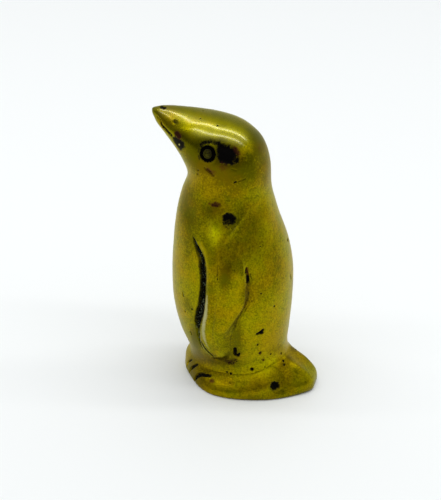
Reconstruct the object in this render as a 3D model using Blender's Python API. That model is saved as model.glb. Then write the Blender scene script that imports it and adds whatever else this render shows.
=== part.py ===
# A brass penguin figurine, hollow cast in two halves that meet on its centre plane.
# Metres, +Z up. The bird faces -Y and its left side is +X. The origin is on the standing face,
# under the middle of the box around the figure.
import math

import bmesh
import bpy
from mathutils import Matrix, Vector
from mathutils.bvhtree import BVHTree

MM = 0.001

# Overall sizes. The tables below are in mm for a figure of the sizes DRAWN and stretch with these.
HEIGHT = 71.0 * MM
LENGTH = 44.5 * MM            # bill to tail
WIDTH = 27.2 * MM             # across the body, without the flippers
DRAWN = (27.2, 44.5, 71.0)    # width, length and height

# Joints between the pieces
GAP = 0.3 * MM                # clearance between two pieces that touch
SEAM_GAP = 0.3 * MM           # width of the joint between the two halves
WALL = 3.2 * MM               # metal round the hollow

# Body and head. Each rib is a cross-section from a point on the belly, throat or bill
# to a point on the back, nape or crown: front y, front z, back y, back z, half width.
RIBS = (
    (-10.2, 3.5, 12.6, 3.5, 8.6),
    (-11.5, 8.5, 13.2, 9.0, 10.6),
    (-14.0, 14.5, 13.7, 15.0, 12.4),
    (-15.8, 22.0, 14.0, 23.0, 13.5),
    (-16.3, 30.0, 13.8, 31.0, 13.6),
    (-16.1, 38.0, 12.4, 38.5, 12.9),
    (-15.5, 45.0, 9.5, 46.0, 11.6),
    (-14.3, 51.2, 7.3, 53.0, 10.0),
    (-13.0, 55.6, 6.6, 59.6, 9.5),
    (-14.3, 58.9, 4.6, 64.9, 9.2),
    (-16.5, 62.0, 0.4, 68.5, 8.1),
    (-19.0, 64.6, -5.1, 70.2, 6.2),
    (-21.1, 66.5, -11.4, 70.8, 3.9),
    (-22.1, 68.0, -17.0, 70.9, 2.2),
    (-22.6, 68.9, -20.4, 70.6, 1.3),
)
BILL_TIP = (-22.7, 69.9)      # y and z
RIB_ROUNDNESS = 2.1           # 2 is an ellipse, more is squarer
RIB_STEPS = 3                 # rings from one rib to the next
RING_POINTS = 44
HOLLOW_RIBS = 8               # the hollow reaches up through this many ribs
HOLLOW_POINTS = 24

# Feet and tail, one low form under the body: y, half width and height of each section
FOOT_RIBS = (
    (-12.7, 1.4, 4.2),
    (-11.7, 3.3, 5.5),
    (-9.6, 6.0, 6.5),
    (-6.6, 9.3, 7.6),
    (-2.6, 12.1, 8.7),
    (2.6, 12.8, 9.3),
    (8.2, 11.8, 9.6),
    (12.6, 10.4, 8.8),
    (15.9, 8.6, 6.9),
    (18.7, 6.2, 5.5),
    (20.7, 4.3, 4.9),
    (21.8, 2.8, 4.2),
)
FOOT_ROUNDNESS = 2.5
FOOT_STEPS = 2
FOOT_POINTS = 22

# Flipper outline seen from the side, y and z: down its front edge, then up its back edge
FLIPPER_FRONT = (
    (-4.4, 47.0), (-6.7, 43.0), (-5.2, 39.4), (-4.4, 36.0), (-4.2, 31.0), (-4.4, 25.6),
    (-5.0, 21.2), (-5.7, 16.4), (-5.2, 12.4), (-3.2, 10.0),
)
FLIPPER_BACK = (
    (-0.8, 9.3), (1.7, 10.7), (2.7, 14.1), (2.5, 17.9), (3.0, 20.7), (4.1, 23.7),
    (5.5, 26.6), (6.3, 29.6), (5.9, 33.8), (5.2, 38.0), (2.6, 46.5),
)
FLIPPER_STEPS = 3
FLIPPER_PROUD = 1.3 * MM      # how far it stands out of the flank
FLIPPER_SUNK = 0.5 * MM       # how far its top end lies under the shoulder
FLIPPER_FADE = (0.49, 0.62)   # where it sinks into the shoulder, as parts of HEIGHT

# Carved lines: y and z seen from the side, with the radius of the cut at each point
FRONT_GROOVE = (
    (-8.7, 42.8, 0.25), (-7.3, 40.8, 0.55), (-5.8, 37.6, 0.85), (-5.1, 33.5, 0.95), (-5.1, 29.5, 0.95),
    (-5.6, 25.0, 0.85), (-6.2, 21.0, 0.7), (-6.6, 17.8, 0.45), (-6.4, 14.0, 0.3), (-5.2, 11.3, 0.25),
    (-3.2, 9.7, 0.25),
)
BACK_GROOVE = (
    (5.5, 38.4, 0.2), (6.2, 33.7, 0.4), (6.6, 29.4, 0.4), (5.6, 26.0, 0.35), (4.2, 23.1, 0.35),
    (3.1, 19.8, 0.4), (2.8, 16.5, 0.45), (3.2, 13.2, 0.4),
)
MOUTH = (
    (-20.6, 67.5, 0.18), (-19.1, 66.4, 0.24), (-17.5, 65.6, 0.3), (-16.1, 65.0, 0.32), (-14.8, 64.6, 0.34),
)
GROOVE_STEPS = 4
GROOVE_LIFT = 0.1 * MM        # how far the middle of each cut lies above the surface

# Clefts between the toes: x and z seen from the front, with the radius of the cut
TOE_CLEFTS = (
    ((0.0, -0.4, 0.45), (0.0, 1.6, 0.4), (0.0, 3.4, 0.3)),
    ((3.2, -0.4, 0.45), (3.7, 2.0, 0.45), (4.6, 3.7, 0.4), (5.1, 5.2, 0.25)),
    ((5.4, -0.4, 0.45), (5.9, 1.8, 0.45), (6.9, 3.6, 0.4), (7.1, 5.2, 0.25)),
    ((8.7, -0.4, 0.5), (9.1, 1.6, 0.55), (9.6, 3.7, 0.6), (10.8, 4.8, 0.4)),
)

# Eye: a brass pin in a ringed socket, at y and z
EYE = (-6.1, 63.8)
EYE_RING_RADIUS = 1.95 * MM
EYE_RING_DEPTH = 0.7 * MM
EYE_PIN_RADIUS = 1.1 * MM
EYE_PIN_LENGTH = 2.4 * MM
EYE_PIN_DOME = 0.35 * MM
EYE_POINTS = 24

# Shallow hollows filed or cast into each side: y and z, then half length, half height and depth
HOLLOWS = (
    (-1.2, 63.8, 2.4, 2.0, 0.45),   # behind the eye
    (-13.4, 64.6, 0.9, 1.5, 0.8),   # corner of the mouth
    (0.1, 48.8, 1.5, 1.9, 0.9),     # head of the flipper
)

# Plate let into the underside
PLATE_THICK = 1.5 * MM
PLATE_LEDGE = 1.5 * MM        # width of the ledge that it seats on

# Locating pins across the seam: name, y and z
PINS = (
    ("bill_pin", -12.0, 66.6),
    ("crown_pin", -1.0, 65.0),
    ("foot_pin", -9.2, 4.3),
    ("tail_pin", 14.5, 4.0),
)
PIN_RADIUS = 0.7 * MM
PIN_LENGTH = 5.0 * MM
PIN_POINTS = 16


def brass(name, colour, roughness):
    material = bpy.data.materials.new(name)
    material.use_nodes = True
    shader = material.node_tree.nodes["Principled BSDF"]
    shader.inputs["Base Color"].default_value = (*colour, 1.0)
    shader.inputs["Metallic"].default_value = 1.0
    shader.inputs["Roughness"].default_value = roughness
    return material


def place(x, y, z):
    """A point in metres from numbers of the tables."""
    return Vector((x * WIDTH / DRAWN[0], y * LENGTH / DRAWN[1], z * HEIGHT / DRAWN[2]))


def small(number):
    """A radius or depth in metres from a number of the tables."""
    return number * HEIGHT / DRAWN[2]


def spline(rows, steps, closed=False):
    """Catmull-Rom curve through rows of numbers, with so many steps from each row to the next."""
    count = len(rows)
    spans = count if closed else count - 1

    def row(index):
        return rows[index % count] if closed else rows[min(max(index, 0), count - 1)]

    found = []
    for span in range(spans):
        before, start, end, after = (row(span + shift) for shift in (-1, 0, 1, 2))
        for step in range(steps):
            t = step / steps
            found.append(tuple(
                0.5 * (2 * b + (c - a) * t + (2 * a - 5 * b + 4 * c - d) * t ** 2
                       + (3 * b - a - 3 * c + d) * t ** 3)
                for a, b, c, d in zip(before, start, end, after)
            ))
    if not closed:
        found.append(tuple(float(number) for number in rows[-1]))
    return found


def rounded(angle, roundness):
    """Point of a unit superellipse."""
    across, up = math.cos(angle), math.sin(angle)
    return (
        math.copysign(abs(across) ** (2 / roundness), across),
        math.copysign(abs(up) ** (2 / roundness), up),
    )


def loft(rings, tip=None):
    """Closed mesh through rings of equally many points. It ends flat, or in a point at its last ring."""
    bm = bmesh.new()
    loops = [[bm.verts.new(point) for point in ring] for ring in rings]
    count = len(loops[0])
    for lower, upper in zip(loops, loops[1:]):
        for index in range(count):
            after = (index + 1) % count
            bm.faces.new((lower[index], lower[after], upper[after], upper[index]))
    bm.faces.new(loops[0])
    if tip is None:
        bm.faces.new(loops[-1])
    else:
        point = bm.verts.new(tip)
        for index in range(count):
            bm.faces.new((loops[-1][index], loops[-1][(index + 1) % count], point))
    bmesh.ops.recalc_face_normals(bm, faces=bm.faces)
    return bm


def body_ring(rib, points, inset):
    front_y, front_z, back_y, back_z, half_width = rib
    front, back = place(0, front_y, front_z), place(0, back_y, back_z)
    half_width = place(half_width, 0, 0).x
    middle, along = (front + back) / 2, (back - front).normalized()
    half_depth = (back - front).length / 2
    shrink = inset(middle.z)
    reach, spread = along * (half_depth - shrink), Vector((half_width - shrink, 0, 0))
    ring = []
    for index in range(points):
        x, depth = rounded(math.tau * index / points, RIB_ROUNDNESS)
        ring.append(middle + reach * depth + spread * x)
    return ring


def body(inset=lambda height: 0.0):
    """The body, head and bill as one solid, with its surface moved in by inset at each height."""
    rings = [body_ring(rib, RING_POINTS, inset) for rib in spline(RIBS, RIB_STEPS)]
    return loft(rings, place(0, *BILL_TIP))


def hollow():
    """The space inside the casting, open at the underside."""
    rings = [body_ring(rib, HOLLOW_POINTS, lambda height: WALL) for rib in spline(RIBS[:HOLLOW_RIBS], 1)]
    mouth = [Vector((point.x, point.y, -WALL)) for point in rings[0]]
    return loft([mouth, *rings])


def feet_and_tail():
    rings = []
    for y, half_width, height in spline(FOOT_RIBS, FOOT_STEPS):
        ring = []
        for index in range(FOOT_POINTS + 1):
            x, z = rounded(math.pi * index / FOOT_POINTS, FOOT_ROUNDNESS)
            ring.append(place(x * half_width, y, max(z, 0.0) * height))
        rings.append(ring)
    return loft(rings)


def solid(name, bm, material=None, smooth=True):
    """A node of the figure or, with no material, a shape that cuts or joins one and isn't shown."""
    mesh = bpy.data.meshes.new(name)
    bm.to_mesh(mesh)
    bm.free()
    if smooth:
        mesh.shade_smooth()
        mesh.set_sharp_from_angle(angle=math.radians(40))
    shape = bpy.data.objects.new(name, mesh)
    bpy.context.collection.objects.link(shape)
    if material:
        mesh.materials.append(material)
    else:
        shape.hide_render = True
        shape.display_type = "WIRE"
    return shape


def combine(shape, other, operation):
    modifier = shape.modifiers.new(f"{operation.lower()} {other.name}", "BOOLEAN")
    modifier.operation = operation
    modifier.object = other
    modifier.solver = "EXACT"


def baked(shape):
    """The mesh of a shape with its modifiers applied."""
    graph = bpy.context.evaluated_depsgraph_get()
    return bpy.data.meshes.new_from_object(shape.evaluated_get(graph), depsgraph=graph)


def on_flank(surface, y, z):
    """Point and outward normal of the left side of a surface at this y and z of the tables."""
    point, normal, _, _ = surface.ray_cast(place(DRAWN[0], y, z), Vector((-1, 0, 0)))
    return point, normal


def carved_line(name, path):
    """A tube along a path of (point, radius), which cuts a groove of half-round section."""
    curve = bpy.data.curves.new(name, "CURVE")
    curve.dimensions = "3D"
    curve.bevel_depth = 1.0
    curve.bevel_resolution = 1
    curve.use_fill_caps = True
    line = curve.splines.new("POLY")
    line.points.add(len(path) - 1)
    for knot, (point, radius) in zip(line.points, path):
        knot.co = (*point, 1.0)
        knot.radius = radius
    guide = bpy.data.objects.new(name, curve)
    bpy.context.collection.objects.link(guide)
    mesh = baked(guide)
    bpy.data.objects.remove(guide)
    bm = bmesh.new()
    bm.from_mesh(mesh)
    bmesh.ops.remove_doubles(bm, verts=bm.verts, dist=0.001 * MM)
    bmesh.ops.recalc_face_normals(bm, faces=bm.faces)
    return solid(name, bm)


def flank_groove(name, surface, line):
    path = []
    for y, z, radius in spline(line, GROOVE_STEPS):
        point, normal = on_flank(surface, y, z)
        path.append((point + normal * GROOVE_LIFT, small(radius)))
    return carved_line(name, path)


def toe_cleft(name, surface, line):
    path = []
    for x, z, radius in line:
        point, _, _, _ = surface.ray_cast(place(x, -DRAWN[1], max(z, 0.2)), Vector((0, 1, 0)))
        path.append((Vector((point.x, point.y, small(z))), small(radius)))
    return carved_line(name, path)


def flipper():
    """The flipper's outline cut out of a slightly larger body."""
    sink_from, sink_to = FLIPPER_FADE

    def inset(height):
        sunk = min(max((height / HEIGHT - sink_from) / (sink_to - sink_from), 0.0), 1.0)
        return -FLIPPER_PROUD + (FLIPPER_PROUD + FLIPPER_SUNK) * sunk

    outline = spline(FLIPPER_FRONT + FLIPPER_BACK, FLIPPER_STEPS, closed=True)
    inner, outer = ([place(x, y, z) for y, z in outline] for x in (3.0, 25.0))
    blank = solid("flipper_blank", loft([inner, outer]))
    larger_body = solid("larger_body", body(inset))
    combine(blank, larger_body, "INTERSECT")
    return blank


def disc(name, at, axis, rings, points, material=None):
    """A turned shape: rings of (radius, distance along the axis), ending in a point if the last is 0."""
    turn = axis.to_track_quat("Z", "Y").to_matrix()
    tip = None
    loops = []
    for radius, distance in rings:
        if radius == 0:
            tip = at + axis * distance
            continue
        loop = []
        for index in range(points):
            angle = math.tau * index / points
            loop.append(at + turn @ Vector((math.cos(angle) * radius, math.sin(angle) * radius, distance)))
        loops.append(loop)
    return solid(name, loft(loops, tip), material)


def shallow_hollow(index, surface, y, z, half_length, half_height, depth):
    """A flattened ball, with its middle so far above the surface that it cuts a dish of these sizes."""
    point, normal = on_flank(surface, y, z)
    bm = bmesh.new()
    bmesh.ops.create_uvsphere(bm, u_segments=20, v_segments=12, radius=1.0)
    spread = 1 / math.sqrt(0.75)
    half_length, half_height, depth = small(half_length), small(half_height), small(depth)
    size = Matrix.Diagonal((half_length * spread, half_height * spread, depth * 2, 1))
    side = Vector((0, 1, 0)).cross(normal).cross(normal).normalized()
    up = normal.cross(side)
    turn = Matrix((side, up, normal)).transposed().to_4x4()
    bmesh.ops.transform(bm, matrix=Matrix.Translation(point + normal * depth) @ turn @ size, verts=bm.verts)
    bmesh.ops.recalc_face_normals(bm, faces=bm.faces)
    return solid(f"hollow_{index}", bm)


def elliptic_plate(name, half_width, front, back, bottom, top, material=None):
    rings = []
    for height in (bottom, top):
        ring = []
        for index in range(RING_POINTS):
            x, y = rounded(math.tau * index / RING_POINTS, RIB_ROUNDNESS)
            ring.append(Vector((x * half_width, (front + back) / 2 + y * (back - front) / 2, height)))
        rings.append(ring)
    return solid(name, loft(rings), material)


def main():
    for old in list(bpy.data.objects):
        bpy.data.objects.remove(old)

    cast_brass = brass("cast_brass", (0.42, 0.33, 0.04), 0.38)
    pin_brass = brass("pin_brass", (0.32, 0.26, 0.05), 0.45)
    plate_brass = brass("plate_brass", (0.36, 0.28, 0.05), 0.5)

    skin, ground = body(), feet_and_tail()
    skin_surface, ground_surface = BVHTree.FromBMesh(skin), BVHTree.FromBMesh(ground)

    left = solid("left_casting", skin, cast_brass)
    combine(left, solid("feet_and_tail", ground), "UNION")
    combine(left, flipper(), "UNION")

    cuts = [
        flank_groove("front_groove", skin_surface, FRONT_GROOVE),
        flank_groove("back_groove", skin_surface, BACK_GROOVE),
        flank_groove("mouth_line", skin_surface, MOUTH),
    ]
    cuts += [toe_cleft(f"toe_cleft_{index}", ground_surface, line) for index, line in enumerate(TOE_CLEFTS)]
    cuts += [shallow_hollow(index, skin_surface, *size) for index, size in enumerate(HOLLOWS)]

    eye, eye_normal = on_flank(skin_surface, *EYE)
    floor = -EYE_PIN_LENGTH
    cuts.append(disc(
        "eye_socket", eye, eye_normal,
        (
            (EYE_PIN_RADIUS + GAP, floor - GAP),
            (EYE_PIN_RADIUS + GAP, -EYE_RING_DEPTH),
            (EYE_RING_RADIUS, -EYE_RING_DEPTH),
            (EYE_RING_RADIUS, EYE_RING_DEPTH),
        ),
        EYE_POINTS))

    seat = WALL - PLATE_LEDGE
    front = place(0, RIBS[0][0], 0).y + seat
    back = place(0, RIBS[0][2], 0).y - seat
    half_width = place(RIBS[0][4], 0, 0).x - seat
    cuts.append(solid("inside", hollow()))
    cuts.append(elliptic_plate("plate_seat", half_width, front, back, -PLATE_THICK, PLATE_THICK + GAP))
    for name, y, z in PINS:
        cuts.append(disc(
            f"{name}_hole", place(0, y, z), Vector((1, 0, 0)),
            ((PIN_RADIUS + GAP, -PIN_LENGTH), (PIN_RADIUS + GAP, PIN_LENGTH / 2 + GAP)), PIN_POINTS))

    bm = bmesh.new()
    bmesh.ops.create_cube(bm, size=1.0)
    side = 4 * HEIGHT
    across = Matrix.Translation((SEAM_GAP / 2 - side / 2, 0, 0)) @ Matrix.Scale(side, 4)
    bmesh.ops.transform(bm, matrix=across, verts=bm.verts)
    cuts.append(solid("right_hand_side", bm, smooth=False))
    for cut in cuts:
        combine(left, cut, "DIFFERENCE")

    finished = baked(left)
    finished.shade_smooth()
    finished.set_sharp_from_angle(angle=math.radians(40))
    left.modifiers.clear()
    left.data = finished
    mirrored = finished.copy()
    mirrored.transform(Matrix.Scale(-1, 4, Vector((1, 0, 0))))
    mirrored.flip_normals()
    right = bpy.data.objects.new("right_casting", mirrored)
    bpy.context.collection.objects.link(right)

    for side, sign in (("left", 1), ("right", -1)):
        at = Vector((sign * eye.x, eye.y, eye.z))
        axis = Vector((sign * eye_normal.x, eye_normal.y, eye_normal.z))
        dome = [
            (EYE_PIN_RADIUS * math.cos(math.radians(angle)), EYE_PIN_DOME * math.sin(math.radians(angle)))
            for angle in (0, 30, 60)
        ]
        disc(
            f"{side}_eye_pin", at, axis,
            ((EYE_PIN_RADIUS, floor), *dome, (0, EYE_PIN_DOME)), EYE_POINTS, pin_brass)

    elliptic_plate("base_plate", half_width - GAP, front + GAP, back - GAP, 0.0, PLATE_THICK, plate_brass)
    for name, y, z in PINS:
        disc(
            name, place(0, y, z), Vector((1, 0, 0)),
            ((PIN_RADIUS, -PIN_LENGTH / 2), (PIN_RADIUS, PIN_LENGTH / 2)), PIN_POINTS, pin_brass)

    to_middle = place(0, -(BILL_TIP[0] + FOOT_RIBS[-1][0]) / 2, 0)
    for shape in bpy.data.objects:
        if not shape.hide_render:
            shape.data.transform(Matrix.Translation(to_middle))


main()
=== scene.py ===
import bpy
import bmesh
import math
import numpy as np
from mathutils import Matrix, Vector, noise
from mathutils.bvhtree import BVHTree


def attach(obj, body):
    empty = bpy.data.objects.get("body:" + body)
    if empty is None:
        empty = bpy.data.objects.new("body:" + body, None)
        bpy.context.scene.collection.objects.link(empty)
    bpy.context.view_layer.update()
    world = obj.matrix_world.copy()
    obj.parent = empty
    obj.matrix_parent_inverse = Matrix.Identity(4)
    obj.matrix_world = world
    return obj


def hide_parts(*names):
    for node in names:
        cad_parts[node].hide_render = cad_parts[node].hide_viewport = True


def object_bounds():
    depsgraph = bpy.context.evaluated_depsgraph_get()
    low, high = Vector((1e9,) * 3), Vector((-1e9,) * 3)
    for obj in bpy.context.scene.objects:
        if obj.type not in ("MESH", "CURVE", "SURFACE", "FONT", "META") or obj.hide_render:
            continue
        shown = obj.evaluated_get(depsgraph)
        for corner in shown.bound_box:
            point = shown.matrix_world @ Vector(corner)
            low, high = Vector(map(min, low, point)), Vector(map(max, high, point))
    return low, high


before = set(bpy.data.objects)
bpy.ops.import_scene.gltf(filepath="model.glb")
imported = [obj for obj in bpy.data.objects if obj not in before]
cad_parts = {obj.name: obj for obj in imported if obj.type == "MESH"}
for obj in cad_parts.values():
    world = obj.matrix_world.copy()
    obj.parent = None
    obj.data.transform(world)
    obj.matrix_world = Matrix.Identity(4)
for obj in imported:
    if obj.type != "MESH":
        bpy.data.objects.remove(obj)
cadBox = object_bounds()
mm = 0.001

# Tables are in millimetres. y runs from bill to tail, z is up, and x is the bird's left.
drawnToFrame = 0.45   # the two forms were drawn this much further to the front

bodyForm = {
    # front y and z, back y and z, half width
    "ribs": (
        (-10.2, 3.5, 12.6, 3.5, 8.6), (-11.5, 8.5, 13.2, 9.0, 10.6), (-14.0, 14.5, 13.7, 15.0, 12.4),
        (-15.8, 22.0, 14.0, 23.0, 13.5), (-16.3, 30.0, 13.8, 31.0, 13.6), (-16.1, 38.0, 12.4, 38.5, 12.9),
        (-15.5, 45.0, 9.5, 46.0, 11.6), (-14.3, 51.2, 7.3, 53.0, 10.0), (-13.0, 55.6, 6.6, 59.6, 9.5),
        (-14.3, 58.9, 4.6, 64.9, 9.2), (-16.5, 62.0, 0.4, 68.5, 8.1), (-19.0, 64.6, -5.1, 70.2, 6.2),
        (-21.1, 66.5, -11.4, 70.8, 3.9), (-22.1, 68.0, -17.0, 70.9, 2.2), (-22.6, 68.9, -20.4, 70.6, 1.3)),
    "billTip": (-22.7, 69.9),
    "roundness": 2.1,
    "around": 96,
    "between": 8,
}
footForm = {
    # y, half width on the table, height, roundness, and how far below the table it is widest, in heights
    "ribs": (
        (-12.7, 1.6, 4.7, 2.5, 0.38), (-11.7, 3.8, 5.8, 2.5, 0.38), (-9.6, 6.8, 6.5, 2.5, 0.38),
        (-6.6, 10.4, 6.7, 2.4, 0.3), (-2.6, 12.8, 6.3, 2.4, 0.1), (2.6, 13.2, 6.1, 2.6, 0.0),
        (8.2, 12.05, 6.9, 2.9, 0.05), (12.2, 10.55, 8.5, 2.6, 0.1), (15.6, 8.55, 7.5, 2.2, 0.1),
        (18.5, 6.15, 5.8, 2.0, -0.15), (20.2, 4.4, 4.6, 2.1, -0.3), (21.1, 3.2, 3.8, 2.2, -0.35),
        (21.55, 2.6, 3.1, 2.1, -0.3), (21.8, 1.9, 2.5, 2.0, -0.3)),
    "around": 96,
    "between": 6,
}
skinMesh = {
    "voxel": 0.31,
    "fineReach": 0.9,   # the mesh is twice as fine this close to a carved line or mark
    "unevenness": ((0.06, 7.0), (0.035, 3.0)),   # height and size of the waves that hand filing leaves
    "bottomRounding": 0.35,   # how far the lower edge is drawn in
}
fillet = {
    # the corner where the body runs into the feet
    "heights": (0.3, 22.0),
    "reach": (2.7, 4.1),   # at the front and further back
    "widens": (-6.0, 4.0),   # the y between which it goes from one to the other
    "smoothed": 0.85,   # the share of the reach that is smoothed
    "passes": ((-30.0, 12), (-7.0, 12), (-5.0, 12)),   # how often, and behind which y
}


def curveThrough(rows, between):
    # Catmull-Rom curve through rows of numbers
    rows = [np.array(row, float) for row in rows]
    if len(rows) == 1:
        rows = [rows[0], rows[0]]
    found = []
    for span in range(len(rows) - 1):
        a, b, c, d = (rows[min(max(span + shift, 0), len(rows) - 1)] for shift in (-1, 0, 1, 2))
        for part in range(between):
            t = part / between
            found.append(0.5 * (2 * b + (c - a) * t + (2 * a - 5 * b + 4 * c - d) * t ** 2
                                + (3 * b - a - 3 * c + d) * t ** 3))
    return np.array([*found, rows[-1]])


def squared(angle, roundness):
    # point of a circle that is pressed a little square
    across, up = math.cos(angle), math.sin(angle)
    return (math.copysign(abs(across) ** (2 / roundness), across),
            math.copysign(abs(up) ** (2 / roundness), up))


def tube(around, rings):
    # plain tube of unit circles at heights 0, 1, 2 ...
    bm = bmesh.new()
    bmesh.ops.create_circle(bm, cap_ends=False, radius=1.0, segments=around)
    edges = bm.edges[:]
    for _ in range(1, rings):
        grown = bmesh.ops.extrude_edge_only(bm, edges=edges)["geom"]
        verts = [part for part in grown if isinstance(part, bmesh.types.BMVert)]
        risen = set(verts)
        edges = [part for part in grown if isinstance(part, bmesh.types.BMEdge)
                 and part.verts[0] in risen and part.verts[1] in risen]
        bmesh.ops.translate(bm, verts=verts, vec=(0, 0, 1))
    return bm


def closeEnds(bm):
    bmesh.ops.holes_fill(bm, edges=[edge for edge in bm.edges if edge.is_boundary], sides=0)
    bmesh.ops.recalc_face_normals(bm, faces=bm.faces)
    return bm


def makeBody():
    ribs = curveThrough(bodyForm["ribs"], bodyForm["between"])
    bm = tube(bodyForm["around"], len(ribs))
    lastRing = [vert for vert in bm.verts if round(vert.co.z) == len(ribs) - 1]
    for vert in bm.verts:
        frontY, frontZ, backY, backZ, halfWidth = ribs[round(vert.co.z)]
        across, deep = squared(math.atan2(vert.co.y, vert.co.x), bodyForm["roundness"])
        front, back = Vector((0, frontY, frontZ)), Vector((0, backY, backZ))
        vert.co = (front + back) / 2 + (back - front) / 2 * deep + Vector((halfWidth * across, 0, 0))
    bmesh.ops.pointmerge(bm, verts=lastRing, merge_co=Vector((0, *bodyForm["billTip"])))
    return closeEnds(bm)


def makeFeet():
    ribs = curveThrough(footForm["ribs"], footForm["between"])
    bm = tube(footForm["around"], len(ribs))
    for vert in bm.verts:
        y, halfWidth, height, roundness, share = ribs[round(vert.co.z)]
        across, up = squared(math.atan2(vert.co.y, vert.co.x), roundness)
        sunk = share * height
        widest = halfWidth / (1 - (abs(sunk) / (height + sunk)) ** roundness) ** (1 / roundness)
        vert.co = (widest * across, y, up * (height + sunk) - sunk)
    return closeEnds(bm)


def newPiece(name, bm):
    mesh = bpy.data.meshes.new(name)
    bm.to_mesh(mesh)
    bm.free()
    piece = bpy.data.objects.new(name, mesh)
    bpy.context.scene.collection.objects.link(piece)
    return piece


def opened(piece):
    bm = bmesh.new()
    bm.from_mesh(piece.data)
    bm.verts.ensure_lookup_table()
    return bm


def stored(bm, piece):
    bm.to_mesh(piece.data)
    bm.free()


def applied(piece):
    # puts the modifiers of a piece into its mesh
    bpy.context.view_layer.update()
    graph = bpy.context.evaluated_depsgraph_get()
    mesh = bpy.data.meshes.new_from_object(piece.evaluated_get(graph), depsgraph=graph)
    piece.modifiers.clear()
    rough, piece.data = piece.data, mesh
    bpy.data.meshes.remove(rough)


print("scene: body, head and feet as one rough form")
bodyShape, feetShape = makeBody(), makeFeet()
for shape in (bodyShape, feetShape):
    bmesh.ops.translate(shape, verts=shape.verts, vec=(0, drawnToFrame, 0))
bodyTree, feetTree = BVHTree.FromBMesh(bodyShape), BVHTree.FromBMesh(feetShape)
feetMesh = bpy.data.meshes.new("roughFeet")
feetShape.to_mesh(feetMesh)
feetShape.free()
bodyShape.from_mesh(feetMesh)
bpy.data.meshes.remove(feetMesh)
skin = newPiece("roughSkin", bodyShape)
remesh = skin.modifiers.new("remesh", "REMESH")
remesh.mode = "VOXEL"
remesh.voxel_size = skinMesh["voxel"]
applied(skin)

sides = {"fadeIn": (3.0, 6.0), "edge": 4}   # x where the flank's forms come in, and its fine lines begin
flipper = {
    # y and z of its front and back edges
    "front": ((-3.95, 47.0), (-6.25, 43.0), (-4.75, 39.4), (-3.95, 36.0), (-3.75, 31.0), (-3.95, 25.6),
              (-4.55, 21.2), (-5.25, 16.4), (-4.55, 12.8), (-2.4, 10.3)),
    "back": ((-0.3, 9.5), (2.15, 10.7), (3.15, 14.1), (2.95, 17.9), (3.45, 20.7), (4.55, 23.7),
             (5.95, 26.6), (6.75, 29.6), (6.35, 33.8), (5.65, 38.0), (3.05, 46.5)),
    "proud": 1.15,
    "frontRoll": 1.7,   # how far in from the front edge the roll reaches its height
    "backSlope": (1.3, 2.6),   # and how far in from the back edge, higher up and near the tip
    "slopeChanges": (18.0, 24.0),   # the z between which it goes from one to the other
    "fades": (35.0, 45.0),   # the z between which it sinks into the shoulder
}
reliefs = {
    # broad swells and dips of the flank: y, z, reach along y, reach along z, turn in degrees, height
    "shoulderRoll": (-2.4, 46.6, 1.5, 3.8, 6, 0.8),
    "shoulderRidge": (1.7, 46.3, 0.5, 3.4, -32, 0.2),
    "upperValley": (1.6, 38.0, 1.7, 7.5, -14, -0.42),
    "behindTip": (4.4, 15.6, 0.9, 4.6, -4, -0.38),
    "flipperSwell": (1.3, 22.0, 2.6, 6.5, -10, 0.28),
    "behindShoulder": (6.0, 48.5, 2.6, 4.5, -20, -0.30),
    "chestDip": (-9.3, 47.5, 2.8, 4.0, 15, -0.30),
    "cheek": (-3.0, 60.4, 4.0, 2.4, 0, 0.12),
    "jaw": (-8.8, 60.2, 2.0, 3.0, 30, 0.10),
}
tail = {
    # x, y, half width, height
    "ridge": ((3.0, 14.0, 1.5, 0.0), (2.9, 15.8, 1.5, 0.35), (2.7, 18.5, 1.3, 0.55), (2.2, 21.5, 1.2, 0.1)),
    "valley": ((5.2, 13.6, 2.0, -0.1), (6.4, 14.6, 2.2, -0.3), (8.4, 14.0, 2.0, -0.3),
               (10.2, 12.9, 1.6, -0.1)),
    "comesIn": (1.0, 2.6),   # the z between which both begin
    "fades": (9.0, 12.0),   # and end
}
cuts = {
    # how each line and pit is cut
    "opens": 1.15,   # its edge lies this many half widths out
    "uneven": (0.6, 0.25),   # size of the bumps in it, and their share of its depth
    "dirtReach": 1.1,   # half widths that the dirt fills when the mark is fully dark
    "paleSpeck": (0.9, 1.3),   # half widths between which the pale specks of the front groove end
    "fineFrom": 0.3,   # smears darker than this get the finer mesh
}
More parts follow.
